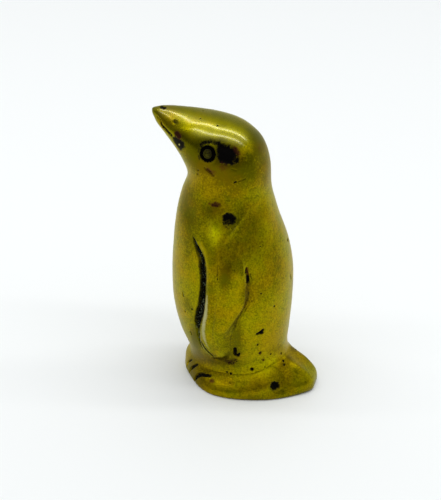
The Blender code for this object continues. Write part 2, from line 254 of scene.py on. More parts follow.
grooves = {
    # y, z, half width, depth, how dark
    "front": ((-8.1, 42.9, 0.12, 0.1, 0.5), (-7.6, 42.1, 0.3, 0.35, 0.9), (-6.9, 40.9, 0.5, 0.6, 1.0),
              (-6.2, 39.8, 0.62, 0.85, 1.0), (-5.6, 38.6, 0.7, 0.95, 0.8), (-5.3, 37.4, 0.75, 1.05, 0.9),
              (-5.1, 36.1, 0.72, 1.15, 1.1), (-4.85, 34.9, 0.7, 1.25, 1.1), (-4.7, 32.4, 0.66, 1.35, 1.1),
              (-4.75, 29.0, 0.7, 1.4, 1.1), (-4.95, 26.0, 0.8, 1.35, 1.1), (-5.4, 23.5, 0.88, 1.3, 1.2),
              (-5.9, 21.0, 0.8, 1.2, 1.2), (-6.0, 18.9, 0.55, 0.8, 1.0), (-6.0, 17.6, 0.45, 0.6, 0.45),
              (-5.8, 15.6, 0.35, 0.45, 0.5), (-5.5, 14.1, 0.22, 0.4, 0.9), (-4.9, 12.6, 0.2, 0.4, 1.2),
              (-4.0, 11.4, 0.2, 0.4, 1.2), (-2.9, 10.4, 0.2, 0.35, 0.8), (-1.8, 9.7, 0.2, 0.3, 0.5),
              (-0.5, 9.2, 0.2, 0.2, 0.2)),
    "rear": ((5.6, 37.6, 0.12, 0.1, 0.3), (5.7, 36.7, 0.2, 0.25, 0.75), (6.0, 35.8, 0.2, 0.25, 0.45),
             (6.1, 34.9, 0.2, 0.3, 1.1), (6.2, 33.9, 0.22, 0.3, 1.1), (6.4, 33.3, 0.25, 0.2, 0.2),
             (6.5, 31.6, 0.5, 0.2, 0.15), (6.6, 29.6, 0.5, 0.2, 0.15), (6.0, 26.8, 0.35, 0.25, 0.15),
             (4.6, 23.8, 0.3, 0.25, 0.25), (3.7, 20.7, 0.35, 0.3, 0.2), (3.2, 17.5, 0.5, 0.3, -0.2),
             (3.4, 14.0, 0.6, 0.3, -0.2), (3.8, 12.2, 0.4, 0.15, -0.3)),
    "inner": ((-1.1, 40.3, 0.2, 0.05, 0.0), (-1.0, 38.0, 0.25, 0.15, 0.15), (-0.9, 36.2, 0.25, 0.15, 0.2),
              (-0.9, 35.4, 0.2, 0.15, 0.55), (-0.8, 34.9, 0.2, 0.12, 0.1), (-0.8, 34.3, 0.2, 0.12, 0.7),
              (-0.85, 33.6, 0.22, 0.1, -0.3), (-1.1, 29.0, 0.4, 0.2, -0.3), (-1.5, 23.6, 0.45, 0.2, -0.2),
              (-2.0, 19.0, 0.5, 0.12, -0.3), (-2.6, 14.5, 0.5, 0.04, -0.5)),
}
eye = {
    "at": (8.72, -5.65, 63.84),
    "axis": (0.962, -0.039, 0.272),
    "ring": 1.95,
    "deep": 0.6,
    "wall": 0.3,   # how far in from the ring it is fully deep
    "lip": (0.2, 0.2, 0.08),   # how far outside the ring, half width, height
    "dirtAndShadow": (0.08, 0.3),   # how far outside the ring it reaches, and how softly it ends
    "fine": 0.3,   # how far outside the ring the finer mesh starts
    "rubAndGlint": (0.25, 0.14, 0.08, 0.2),   # how far outside, half width, strength all round, and more behind
    "behind": (-0.5, 1.5),   # the y from its middle between which the rub grows
    # the pin: distance from its middle line and height over the skin, from the bottom up
    "pinProfile": ((0.0, -1.6), (1.1, -1.6), (1.1, 0.02), (1.05, 0.14), (0.97, 0.19), (0.86, 0.18),
                   (0.76, 0.14), (0.64, 0.15), (0.5, 0.2), (0.32, 0.26), (0.15, 0.29), (0.0, 0.3)),
    "pinSteps": 56,
    "pinSharp": 50,   # degrees from which an edge of it stays sharp
}
hollows = {
    # outline in y and z, depth, and how dark at two places
    "behindEye": {
        "corners": ((-3.7, 65.8), (-3.5, 66.4), (-2.7, 66.4), (-1.0, 66.0), (0.6, 65.5), (1.3, 64.6),
                    (1.6, 63.6), (1.6, 62.5), (1.1, 61.9), (0.0, 61.8), (-1.3, 62.0), (-2.6, 62.2),
                    (-3.2, 63.0), (-3.5, 64.6)),
        "deep": 0.3, "dark": ((-1.0, 64.3, 1.4), (1.2, 63.8, 0.4)),
    },
    "shoulder": {
        "corners": ((-1.1, 49.7), (-0.6, 50.2), (0.2, 50.4), (1.3, 50.2), (2.1, 49.5), (2.2, 48.5),
                    (1.9, 47.5), (1.4, 46.3), (0.9, 46.3), (-0.1, 46.9), (-0.9, 47.9)),
        "deep": 0.4, "dark": ((0.3, 50.0, 0.8), (1.0, 46.2, 0.05)),
    },
    "beforeEye": {
        "corners": ((-15.3, 65.3), (-14.3, 65.9), (-13.1, 65.7), (-11.9, 65.1), (-11.7, 64.0),
                    (-12.5, 62.9), (-13.3, 62.5), (-14.1, 63.4), (-14.9, 64.1)),
        "deep": 0.05, "dark": ((-14.0, 64.5, 1.4), (-12.3, 64.0, 0.9)),
    },
}
hollowFloor = {
    "slope": (-0.2, 0.9),   # how far inside the outline it starts and is fully deep
    "uneven": 0.2,
    "dirtAndShadow": (0.1, 0.8),   # its darkness at the outline, and how softly it grows
    "fine": 0.5,   # how near the outline the finer mesh starts
}
mouthLine = (
    # x, y, z, half width, depth, how dark
    (2.1, -20.3, 68.7, 0.12, 0.1, 0.3), (2.8, -19.1, 67.9, 0.2, 0.3, 0.8),
    (3.0, -18.4, 67.0, 0.26, 0.45, 1.2), (3.8, -17.4, 66.5, 0.28, 0.5, 1.2),
    (4.5, -16.4, 66.0, 0.28, 0.5, 1.2), (4.9, -15.5, 65.6, 0.3, 0.4, 1.2),
)
toes = (
    # clefts between the toes, and last the one between the feet, in the same columns
    ((3.6, -10.65, 0.0, 0.3, 0.2, 0.0), (3.9, -10.2, 1.8, 0.3, 0.25, 0.1), (4.3, -9.9, 3.0, 0.3, 0.5, 0.9),
     (5.4, -9.0, 4.5, 0.2, 0.3, 0.8)),
    ((5.3, -9.3, 0.0, 0.3, 0.2, 0.0), (5.8, -8.9, 1.5, 0.3, 0.3, 0.1), (6.2, -8.5, 2.5, 0.4, 0.55, 1.1),
     (7.4, -7.1, 4.7, 0.28, 0.35, 0.9)),
    ((8.4, -6.9, 0.0, 0.35, 0.25, 0.3), (8.6, -6.8, 1.0, 0.45, 0.4, 0.8),
     (8.8, -6.1, 2.3, 0.55, 0.55, 1.0), (9.2, -5.2, 3.1, 0.55, 0.55, 0.95),
     (9.7, -4.0, 3.4, 0.42, 0.45, 0.8), (10.1, -2.9, 3.9, 0.4, 0.35, 0.7)),
    ((0.0, -12.2, 0.0, 0.45, 0.6, 0.4), (0.0, -12.1, 2.0, 0.4, 0.6, 0.5),
     (0.0, -11.4, 4.6, 0.3, 0.35, 0.6)),
)
pits = (
    # pits and scratches on the left side: half width, depth, how dark, then its points
    # bill and crown
    (0.4, 0.22, 1.1, (0.5, -19.8, 70.5), (1.0, -18.7, 70.5)),
    (0.55, 0.12, 0.35, (4.0, -15.2, 68.6), (4.1, -14.9, 68.5)),
    (0.2, 0.12, 1.0, (3.2, -9.2, 70.0)),
    (0.24, 0.12, 0.9, (4.1, -4.7, 69.2)),
    (0.22, 0.1, 0.9, (0.0, -9.5, 70.7)),
    # cheek
    (0.3, 0.1, 0.3, (9.2, -6.2, 60.5), (9.2, -5.6, 60.2)),
    (0.4, 0.15, 0.45, (9.2, -5.3, 60.1), (9.2, -4.6, 59.7)),
    (0.3, 0.1, 0.2, (9.4, -4.3, 59.4), (9.5, -3.8, 59.0)),
    (0.24, 0.12, 0.8, (8.5, -7.9, 59.3)),
    (0.26, 0.12, 0.8, (8.3, -8.0, 58.2)),
    (0.2, 0.06, 0.8, (8.8, 1.0, 57.7), (8.7, 1.4, 57.9)),
    (0.14, 0.08, 0.4, (8.5, 2.0, 58.0), (7.6, 3.5, 58.6)),
    (0.12, 0.05, 0.2, (8.8, 0.3, 61.0), (8.5, 1.4, 60.6)),
    # chest, flank and back
    (0.26, 0.15, 0.9, (10.7, -9.6, 21.9)),
    (0.28, 0.15, 1.0, (12.1, -7.5, 23.7)),
    (0.2, 0.12, 0.8, (10.7, -10.4, 27.0), (10.8, -10.2, 26.1)),
    (0.22, 0.1, 0.7, (10.3, -8.2, 16.0), (10.3, -8.0, 15.3)),
    (0.24, 0.12, 1.0, (7.7, 12.0, 25.8)),
    (0.2, 0.1, 0.9, (10.4, 9.1, 30.3)),
    (0.22, 0.1, 1.0, (8.6, 7.9, 42.0)),
    (0.22, 0.12, 0.9, (1.0, 14.2, 31.4), (0.7, 14.3, 30.1)),
    # low on the flank and the back
    (0.3, 0.2, 1.2, (10.4, 8.7, 18.9), (9.9, 9.2, 19.3), (9.7, 9.9, 19.8)),
    (0.36, 0.25, 1.2, (10.0, 9.3, 19.1), (9.8, 9.8, 19.0)),
    (0.26, 0.15, 1.0, (9.9, 8.8, 15.5)),
    (0.42, 0.2, 1.0, (9.0, 9.4, 12.6)),
    (0.35, 0.12, 0.6, (8.5, 10.4, 10.0)),
    (0.22, 0.12, 0.5, (8.4, 11.0, 7.9)),
    (0.26, 0.12, 0.9, (6.9, 11.9, 11.2)),
    (0.28, 0.15, 1.1, (3.6, 14.1, 10.0)),
    (0.26, 0.15, 1.1, (4.2, 14.6, 8.5)),
    (0.28, 0.15, 1.1, (4.7, 14.9, 7.6)),
    (0.4, 0.25, 1.2, (9.2, 7.6, 7.5)),
    # top of the foot
    (0.26, 0.15, 1.0, (10.0, 1.4, 5.8)),
    (0.3, 0.15, 1.0, (10.0, 2.4, 5.6)),
    (0.2, 0.1, 0.4, (11.1, 1.9, 8.1)),
    (0.2, 0.1, 0.5, (12.2, 2.7, 4.2)),
    # under the flipper's tip
    (0.34, 0.3, 1.1, (11.3, 3.45, 14.2), (11.1, 3.45, 12.9)),
    (0.34, 0.3, 1.1, (10.9, 3.6, 12.4), (10.8, 4.3, 12.1)),
    (0.22, 0.2, 1.1, (10.9, 4.5, 12.3), (11.0, 4.6, 12.8)),
    (0.28, 0.12, 1.0, (12.8, -4.7, 15.2), (12.8, -4.0, 13.8), (12.7, -3.4, 13.0), (12.7, -2.6, 12.3),
     (12.5, -1.8, 11.5)),
    (0.2, 0.1, 0.9, (10.6, 0.6, 9.4)),
    (0.26, 0.12, 1.0, (10.4, 1.8, 9.3), (10.3, 2.4, 9.2)),
    (0.2, 0.1, 1.0, (10.4, 3.1, 9.5)),
    (0.18, 0.1, 0.9, (10.6, 3.9, 9.9)),
    (0.16, 0.1, 0.8, (10.9, -1.7, 12.2), (10.8, -0.9, 10.6)),
    # back edge of the flipper
    (0.22, 0.1, 0.6, (12.2, 6.5, 28.8)),
    (0.22, 0.1, 0.7, (11.7, 7.3, 28.6)),
    (0.34, 0.1, 0.5, (12.4, 5.8, 26.7)),
    (0.16, 0.1, 0.5, (11.4, 6.6, 35.9), (11.5, 6.8, 34.6)),
    (0.16, 0.06, 0.1, (11.7, 7.1, 33.0), (11.7, 7.3, 29.6)),
)
guessed = {
    # marks on the right side and the back, which the photo doesn't show
    "seed": 11, "turn": (-60, 100), "height": (4, 58), "from": 20, "length": 0.8,
    "pits": (34, (0.16, 0.36), 0.13, (0.6, 1.1)),   # how many, half width, depth, how dark
    "films": (7, (0.5, 1.2), 0.2, (0.5, 0.9)),   # how many, reach, how dark, how brown
}
smears = (
    # dirt and brown films with soft edges, and a painted shadow under the flipper's tip: reach, how dark,
    # how brown, then their points
    (0.85, 0.95, 1.2, (5.8, -14.1, 66.6), (6.2, -13.4, 66.1)),
    (1.0, 0.72, 0.1, (8.2, -7.4, 65.5), (7.9, -6.6, 66.2), (7.7, -5.5, 66.6), (7.7, -4.3, 66.6),
     (7.6, -3.4, 66.4)),
    (0.6, 0.55, 0.1, (8.3, -7.9, 64.6), (8.4, -8.0, 63.5), (8.6, -7.6, 62.3)),
    (0.9, 0.25, 0.1, (7.6, -6.0, 66.9), (7.4, -3.8, 67.0)),
    (0.7, 0.3, 0.9, (6.8, 0.4, 65.3), (7.2, 1.3, 64.4)),
    (1.3, 0.1, 0.8, (9.3, -1.7, 61.2)),
    (1.0, 0.15, 0.8, (9.2, -5.2, 60.1), (9.4, -4.2, 59.6)),
    (0.5, 0.8, 1.2, (10.1, -3.6, 51.7), (10.1, -2.6, 51.7)),
    (0.42, 0.65, 1.2, (10.0, -3.1, 52.2), (10.0, -2.1, 52.1)),
    (0.35, 0.3, 0.9, (10.0, -4.5, 51.9)),
    (0.8, 0.05, 0.7, (10.1, -3.8, 51.7), (10.1, -2.2, 51.9)),
    (1.7, 0.0, 0.35, (10.3, -4.6, 50.6), (10.3, -2.6, 50.6)),
    (0.6, 0.6, 1.2, (11.3, -2.4, 3.3), (11.5, -1.9, 3.4)),
    # these three lay a painted shadow under the flipper's tip, over some residue
    (0.6, 0.55, 0.4, (10.7, 1.3, 9.1), (10.5, 2.1, 8.8), (10.5, 2.8, 8.9), (10.6, 3.6, 9.5)),
    (1.25, 0.64, 0.5, (10.9, 1.4, 9.7), (10.8, 2.3, 9.8), (10.9, 3.3, 10.4)),
    (0.6, 0.5, 0.1, (12.4, -1.7, 11.2), (11.6, -1.0, 10.0), (10.9, 0.2, 9.3)),
    (0.9, 0.1, 0.6, (9.0, 9.4, 12.6)),
    (0.8, 0.1, 0.6, (8.5, 10.4, 10.0)),
    (1.4, 0.1, 0.45, (2.4, 5.2, 64.0)),
    (0.9, 0.0, 0.5, (12.2, 2.8, 4.2)),
    (0.35, 0.3, 0.9, (11.5, 5.7, 37.2), (11.5, 5.9, 35.6)),
    (0.55, 0.4, 0.0, (11.8, 6.6, 33.0), (12.2, 6.7, 29.0)),
)
roughSpot = {
    # rough casting on the side of the base, behind the foot
    "at": (8.9, 13.5, 3.6), "reach": 1.5, "deep": 0.25,
    "slope": (0.6, 1.0),   # the shares of its reach between which it rises
    "dirtAndShadow": (2.2, 0.9, 0.65),   # how firmly it ends, at which share, and how dark it is at most
}
lipGlint = {"at": (6.3, -13.3, 64.1), "reach": 0.18, "clean": 0.1, "bright": 1.5}   # a pale spot painted by the bill as a glint
greenFilm = {
    # y and z, in the front groove near the flipper's tip
    "line": ((-6.1, 18.4), (-6.0, 17.0), (-5.8, 15.2), (-5.2, 13.6), (-4.4, 12.3), (-3.2, 11.0)),
    "reach": 0.7, "strength": 0.8,
}
rubsAndGlints = (
    # y, z, half width and strength along edges painted pale: hand wear, with painted highlights on the
    # flipper's front rim and on the ridge by the shoulder hollow
    ((-3.2, 29.5, 0.4, 0.5), (-3.3, 27.0, 0.55, 0.75), (-3.5, 24.1, 0.65, 0.85), (-3.85, 22.0, 0.7, 0.85),
     (-4.05, 19.6, 0.7, 0.75), (-3.9, 17.1, 0.65, 0.75), (-3.2, 15.0, 0.45, 0.5), (-2.3, 13.3, 0.35, 0.25),
     (-1.4, 12.2, 0.25, 0.1)),
    ((-3.9, 40.0, 0.15, 0.1), (-3.7, 36.0, 0.2, 0.25), (-3.7, 30.0, 0.2, 0.25)),
    ((2.5, 48.3, 0.25, 0.2), (1.9, 46.4, 0.25, 0.3), (1.0, 45.1, 0.25, 0.25), (0.2, 44.0, 0.3, 0.1)),
)
streaks = (
    # reach, then the points: where the head is polished bright enough to mirror the lamps
    (1.0, (1.7, -19.1, 70.1), (2.4, -16.0, 70.1), (3.6, -11.9, 69.8), (4.6, -7.9, 69.4), (4.9, -4.3, 68.8),
     (4.6, -1.2, 68.3), (4.1, 1.5, 67.0)),
    (1.0, (6.0, -9.3, 68.2), (6.3, -8.1, 68.0), (6.4, -4.7, 67.9), (6.0, -1.3, 67.4), (5.4, 1.0, 66.4)),
)
tones = (
    # broad tones of both flanks: y, z, reach along y, reach along z, how much darker (below 0: paler). Some
    # are patina, as on the chest and cheeks; others are painted shade round the flipper's tip, on the top
    # of the feet and below the dark patch behind the eye; the paler ones are painted highlights, as on the
    # shoulder roll
    (-9.9, 47.5, 3.4, 5.4, 0.75), (4.2, 49.5, 2.4, 4.0, 0.25), (8.4, 43.8, 1.6, 6.0, -0.5),
    (6.8, 62.5, 1.8, 5.0, 0.7), (-7.6, 63.0, 4.6, 3.1, 1.05), (-7.1, 61.4, 2.6, 2.2, 0.9),
    (-1.5, 60.0, 3.2, 2.4, 0.8), (3.6, 60.6, 3.4, 3.6, 0.55), (-3.0, 66.4, 4.5, 1.1, 0.3),
    (0.6, 55.6, 4.0, 4.0, 0.4), (-10.5, 58.5, 2.0, 3.0, 0.2), (-6.5, 56.5, 3.0, 2.5, 0.2),
    (-4.5, 50.0, 2.0, 2.0, 0.45), (-2.2, 46.2, 1.4, 3.2, -1.4), (2.8, 46.5, 1.4, 3.0, 0.35),
    (-8.9, 39.0, 2.0, 3.6, 0.4), (0.9, 35.6, 1.5, 3.4, 1.1), (-2.4, 31.0, 1.3, 5.0, 0.4),
    (6.3, 31.0, 1.1, 4.5, 0.5), (-1.2, 23.0, 2.0, 4.0, 0.3), (4.4, 20.5, 1.1, 3.5, 0.6),
    (2.2, 17.0, 1.4, 3.5, 0.5), (4.3, 14.6, 1.4, 4.0, 0.6), (-6.8, 14.5, 1.5, 4.5, 1.1),
    (-0.5, 14.0, 2.0, 4.0, 0.25), (1.0, 9.6, 3.4, 2.2, 0.7), (-9.5, 6.0, 2.4, 5.0, 0.45),
    (-6.5, 7.5, 2.0, 2.5, 0.6), (-8.6, 2.6, 1.6, 2.4, 0.6), (10.6, 9.0, 2.8, 4.5, -0.55),
    (0.5, 4.4, 5.5, 1.2, 0.5), (15.0, 8.2, 1.4, 1.2, 1.1), (14.6, 5.0, 1.6, 2.5, 0.3),
    (17.4, 5.6, 2.8, 1.4, 0.35), (12.0, 37.0, 2.5, 6.0, 0.45), (8.4, 31.5, 2.0, 6.0, 0.25),
    (1.5, 61.5, 2.0, 1.5, 0.3), (-5.8, 1.6, 2.2, 1.6, 0.7), (1.5, 2.6, 2.6, 1.0, -0.35),
    (0.8, 65.8, 1.6, 0.9, 0.4), (-0.6, 60.8, 1.4, 1.6, 0.45), (-12.6, 65.4, 1.6, 1.9, 0.6),
    (-5.4, 66.3, 2.8, 0.9, 0.6), (-3.0, 64.4, 0.8, 2.2, 1.3), (-5.2, 66.2, 2.2, 0.6, 0.7),
    (-3.4, 8.6, 2.0, 1.6, 0.6), (3.3, 12.8, 1.2, 1.0, 0.5), (0.2, 12.8, 1.0, 1.2, -0.6),
    (12.6, 8.8, 1.2, 1.6, -0.5), (9.6, 4.4, 1.8, 1.2, 0.5), (-11.5, 51.0, 2.0, 3.5, 0.35),
    (9.6, 49.5, 1.4, 3.0, 0.35), (-8.8, 24.5, 1.2, 2.0, 0.45), (-14.9, 68.3, 2.0, 0.7, 0.9),
)
wear = {
    # pairs are millimetres between which it comes in or ends
    "closesOver": {"head": (62.0, 66.0), "tail": (13.5, 15.5), "by": 3},   # z and y where the tones meet
    "polish": {"z": (63.0, 66.5), "rises": 0.12, "levelAt": -5},   # its lower end rises towards the back
    "crown": {"x": (0.5, 3.2), "z": (62.0, 66.0), "dullAndShade": 0.3, "green": 0.3},
    "nape": {"x": (2.5, 5.5), "y": (1.0, 5.0), "z": (52.0, 58.0), "dullAndShade": 0.6},
    # the hem darkens the feet towards the table: painted shade
    "hem": {"y": (2.0, 8.0), "z": (0.8, 3.2), "dullAndShade": 0.4},
}
wearLayers = ("dirtAndShadow", "brown", "green", "dullAndShade", "freshAndHighlight", "polish", "shine", "rubAndGlint", "speck")


def softStep(low, high, value):
    t = np.clip((value - low) / (high - low), 0, 1)
    return t * t * (3 - 2 * t)


def bell(away, reach):
    return np.exp(-(away / reach) ** 2)


def toSegment(points, start, end):
    # distance to a straight piece of line, and the share of it where the nearest place lies
    along = end - start
    t = np.clip(((points - start) @ along) / max(along @ along, 1e-12), 0, 1)
    return np.linalg.norm(points - start - t[:, None] * along, axis=1), t


def nearLine(points, line, between=4):
    # distance of each point to a line, with the line's further columns at the nearest place
    line = curveThrough(line, between)
    size = points.shape[1]
    best = np.full(len(points), 1e9)
    extra = np.zeros((len(points), line.shape[1] - size))
    for start, end in zip(line, line[1:]):
        away, t = toSegment(points, start[:size], end[:size])
        closer = away < best
        best[closer] = away[closer]
        extra[closer] = start[size:] + t[closer, None] * (end[size:] - start[size:])
    return best, extra


def insideOf(points, corners):
    # distance to a closed outline, positive inside
    corners = np.array(corners)
    best = np.full(len(points), 1e9)
    within = np.zeros(len(points), bool)
    for start, end in zip(corners, np.roll(corners, -1, axis=0)):
        best = np.minimum(best, toSegment(points, start, end)[0])
        crosses = (start[1] > points[:, 1]) != (end[1] > points[:, 1])
        across, up = end - start
        within ^= crosses & (points[:, 0] < start[0] + (points[:, 1] - start[1]) / (up + 1e-12) * across)
    return np.where(within, best, -best)


def toLeft(places):
    # the places with those of the right side brought over to the left
    return np.column_stack([np.abs(places[:, 0]), places[:, 1:]])


def readPoints(piece):
    count = len(piece.data.vertices)
    places, normals = np.zeros(count * 3), np.zeros(count * 3)
    piece.data.vertices.foreach_get("co", places)
    piece.data.vertices.foreach_get("normal", normals)
    return places.reshape(-1, 3), normals.reshape(-1, 3)


def writePoints(piece, places):
    piece.data.vertices.foreach_set("co", places.ravel())
    piece.data.update()


def unevenness(places, size):
    return np.array([noise.noise(Vector(place) / size) for place in places])


def softenJoin():
    # fills the corner where the body runs into the feet, until both read as one casting
    places, normals = readPoints(skin)
    lowest, highest = fillet["heights"]
    low = np.nonzero((places[:, 2] > lowest) & (places[:, 2] < highest))[0]
    gap = np.array([max(form.find_nearest(Vector(place))[3] for form in (bodyTree, feetTree))
                    for place in places[low]])
    narrow, wide = fillet["reach"]
    reach = narrow + (wide - narrow) * softStep(*fillet["widens"], places[low, 1])
    fill = np.clip(reach - gap, 0, None) ** 2 / (4 * reach)
    places[low] += normals[low] * fill[:, None]
    writePoints(skin, places)
    bm = opened(skin)
    halfWay = dict(factor=0.5, use_axis_x=True, use_axis_y=True, use_axis_z=True)
    bmesh.ops.smooth_vert(bm, verts=bm.verts, **halfWay)
    for fromY, passes in fillet["passes"]:
        strip = [bm.verts[i] for i in low[(gap < reach * fillet["smoothed"]) & (places[low, 1] > fromY)]]
        for _ in range(passes):
            bmesh.ops.smooth_vert(bm, verts=strip, **halfWay)
    stored(bm, skin)


def carveBroad():
    # the flipper, the swells and dips of the flank, the form of the tail, and the drawn-in lower edge
    places, normals = readPoints(skin)
    flank = places[:, 1:3]
    onSide = softStep(*sides["fadeIn"], np.abs(places[:, 0]))
    front, _ = nearLine(flank, flipper["front"])
    back, _ = nearLine(flank, flipper["back"])
    outline = np.concatenate([curveThrough(flipper["front"], 4), curveThrough(flipper["back"], 4)])
    within = insideOf(flank, outline) > 0
    roll = np.sqrt(1 - (1 - np.clip(front / flipper["frontRoll"], 0, 1)) ** 2)
    upper, lower = flipper["backSlope"]
    reach = lower + (upper - lower) * softStep(*flipper["slopeChanges"], flank[:, 1])
    slope = softStep(0, 1, back / reach)
    fade = 1 - softStep(*flipper["fades"], places[:, 2])
    lift = np.where(within, flipper["proud"] * roll * slope * fade, 0)
    for y, z, reachY, reachZ, turn, height in reliefs.values():
        c, s = math.cos(math.radians(turn)), math.sin(math.radians(turn))
        dy, dz = flank[:, 0] - y, flank[:, 1] - z
        lift += height * np.exp(-((dy * c + dz * s) / reachY) ** 2 - ((dz * c - dy * s) / reachZ) ** 2)
    lift *= onSide
    low = 1 - softStep(*tail["fades"], places[:, 2])
    for line in (tail["ridge"], tail["valley"]):
        away, extra = nearLine(toLeft(places)[:, :2], line)
        lift += low * softStep(*tail["comesIn"], places[:, 2]) * extra[:, 1] * bell(away, extra[:, 0])
    lift += sum(height * unevenness(places, size) for height, size in skinMesh["unevenness"])
    moved = places + normals * lift[:, None]
    outward = normals * (1, 1, 0)
    under = np.clip(1 - moved[:, 2:], 0, 1.5) ** 2
    writePoints(skin, moved - skinMesh["bottomRounding"] * outward * under)


def onSkin(points):
    # marks are drawn a little above or below the skin, so each point moves to the nearest place on it
    return [(*(skinTree.find_nearest(Vector(point[:3]))[0]), *point[3:]) for point in points]


def guessMarks():
    # pits and brown films at random places round the right side and the back
    chance = np.random.default_rng(guessed["seed"])

    def place():
        turn = math.radians(chance.uniform(*guessed["turn"]))
        x, y = -guessed["from"] * math.cos(turn), guessed["from"] * math.sin(turn) - 1
        return Vector((x, y, chance.uniform(*guessed["height"])))

    def mark():
        start = skinTree.find_nearest(place())[0]
        return tuple(start), tuple(start + Vector(chance.uniform(-guessed["length"], guessed["length"], 3)))

    def marks(count, width, second, third):
        return [(chance.uniform(*width), second, chance.uniform(*third), *mark()) for _ in range(count)]

    return marks(*guessed["pits"]), marks(*guessed["films"])


def readCarving(places):
    # what the carved lines and marks do at each point: lift, tones, and the distance to the nearest of them
    flank, mirrored = places[:, 1:3], toLeft(places)
    onSide = np.abs(places[:, 0]) > sides["edge"]
    bumpSize, bumpShare = cuts["uneven"]
    rough = unevenness(places, bumpSize)
    lift, near = np.zeros(len(places)), np.full(len(places), 9.0)
    dirtAndShadow, brown, green, speck = np.full(len(places), -1.0), *np.zeros((3, len(places)))

    def cut(away, halfWidth, depth, dark, where=True):
        nonlocal near, dirtAndShadow, lift
        section = np.sqrt(np.clip(1 - (away / (halfWidth * cuts["opens"])) ** 2, 0, 1))
        lift = lift - np.where(where, depth * section * (1 + bumpShare * rough), 0)
        filled = np.clip(dark * cuts["dirtReach"] - away / halfWidth, -1, 1)
        dirtAndShadow = np.where(where, np.maximum(dirtAndShadow, filled), dirtAndShadow)
        near = np.where(where, np.minimum(near, away - halfWidth), near)

    for name, line in grooves.items():
        away, extra = nearLine(flank, line)
        cut(away, extra[:, 0], extra[:, 1], extra[:, 2], onSide)
        if name == "front":
            speck = np.where(onSide, 1 - softStep(*cuts["paleSpeck"], away / extra[:, 0]), 0)
    for line in (mouthLine, *toes):
        away, extra = nearLine(mirrored, onSkin(line))
        cut(away, extra[:, 0], extra[:, 1], extra[:, 2])
    for halfWidth, depth, dark, *points in (*pits, *guessedPits):
        away, _ = nearLine(places, onSkin(points), 2)
        cut(away, halfWidth, depth, dark)
    # smears lay dirt, brown films and the painted shadow under the flipper's tip
    for reach, dark, film, *points in (*smears, *guessedFilms):
        away, _ = nearLine(places, onSkin(points), 2)
        soft = bell(away, reach)
        dirtAndShadow = np.maximum(dirtAndShadow, np.clip(2 * dark * soft - 1, -1, 1))
        brown = np.maximum(brown, film * soft)
        near = np.where(dark > cuts["fineFrom"], np.minimum(near, away - reach), near)

    toEye, ring = np.linalg.norm(mirrored - eye["at"], axis=1), eye["ring"]
    lift = lift - eye["deep"] * (1 - softStep(ring - eye["wall"], ring, toEye))
    out, halfWidth, height = eye["lip"]
    lift = lift + height * bell(toEye - ring - out, halfWidth)
    out, softness = eye["dirtAndShadow"]
    dirtAndShadow = np.maximum(dirtAndShadow, np.clip((ring + out - toEye) / softness, -1, 1))
    near = np.minimum(near, toEye - ring - eye["fine"])

    for shape in hollows.values():
        into = insideOf(flank, shape["corners"])
        (*start, atStart), (*end, atEnd) = shape["dark"]
        run = np.array(end) - start
        dark = atStart + (atEnd - atStart) * softStep(0, 1, (flank - start) @ run / (run @ run))
        sunk = shape["deep"] * softStep(*hollowFloor["slope"], into) * (1 + hollowFloor["uneven"] * rough)
        lift = lift - np.where(onSide, sunk, 0)
        least, softness = hollowFloor["dirtAndShadow"]
        dirtAndShadow = np.where(onSide, np.maximum(dirtAndShadow, np.clip(least + into / softness, -1, dark)), dirtAndShadow)
        near = np.where(onSide, np.minimum(near, np.abs(into) - hollowFloor["fine"]), near)

    away = np.linalg.norm(mirrored - onSkin([roughSpot["at"]])[0], axis=1)
    share = away / roughSpot["reach"]
    lift = lift - roughSpot["deep"] * (1 - softStep(*roughSpot["slope"], share))
    firmness, endsAt, darkest = roughSpot["dirtAndShadow"]
    dirtAndShadow = np.maximum(dirtAndShadow, np.clip(firmness * (endsAt - share), -1, darkest))
    near = np.minimum(near, away - roughSpot["reach"])
    # a painted glint by the bill: cleared of dark, then laid pale
    toGlint = np.linalg.norm(mirrored - onSkin([lipGlint["at"]])[0], axis=1)
    dirtAndShadow = np.where(toGlint < lipGlint["reach"] + lipGlint["clean"], -1, dirtAndShadow)

    away, _ = nearLine(flank, greenFilm["line"])
    green = np.where(onSide, greenFilm["strength"] * bell(away, greenFilm["reach"]), 0)
    # pale rubbed edges, some of them painted highlights
    rubAndGlint = np.zeros(len(places))
    for line in rubsAndGlints:
        away, extra = nearLine(flank, line)
        rubAndGlint = np.where(onSide, np.maximum(rubAndGlint, extra[:, 1] * bell(away, extra[:, 0])), rubAndGlint)
    # a pale rim round the eye's ring, stronger behind it: partly wear and partly painted highlight
    out, halfWidth, allRound, more = eye["rubAndGlint"]
    behind = softStep(*eye["behind"], flank[:, 0] - eye["at"][1])
    rubAndGlint = np.maximum(rubAndGlint, (allRound + more * behind) * bell(toEye - ring - out, halfWidth))
    rubAndGlint = np.maximum(rubAndGlint, lipGlint["bright"] * np.exp(-(toGlint / lipGlint["reach"]) ** 4))
    return lift, near, dirtAndShadow, brown, green, rubAndGlint, speck


def refine():
    # splits the faces near carved lines and marks
    places, _ = readPoints(skin)
    near = readCarving(places)[1]
    bm = opened(skin)
    fine = [face for face in bm.faces
            if min(near[vert.index] for vert in face.verts) < skinMesh["fineReach"]]
    edges = list({edge for face in fine for edge in face.edges})
    bmesh.ops.subdivide_edges(bm, edges=edges, cuts=1, use_grid_fill=True)
    stored(bm, skin)


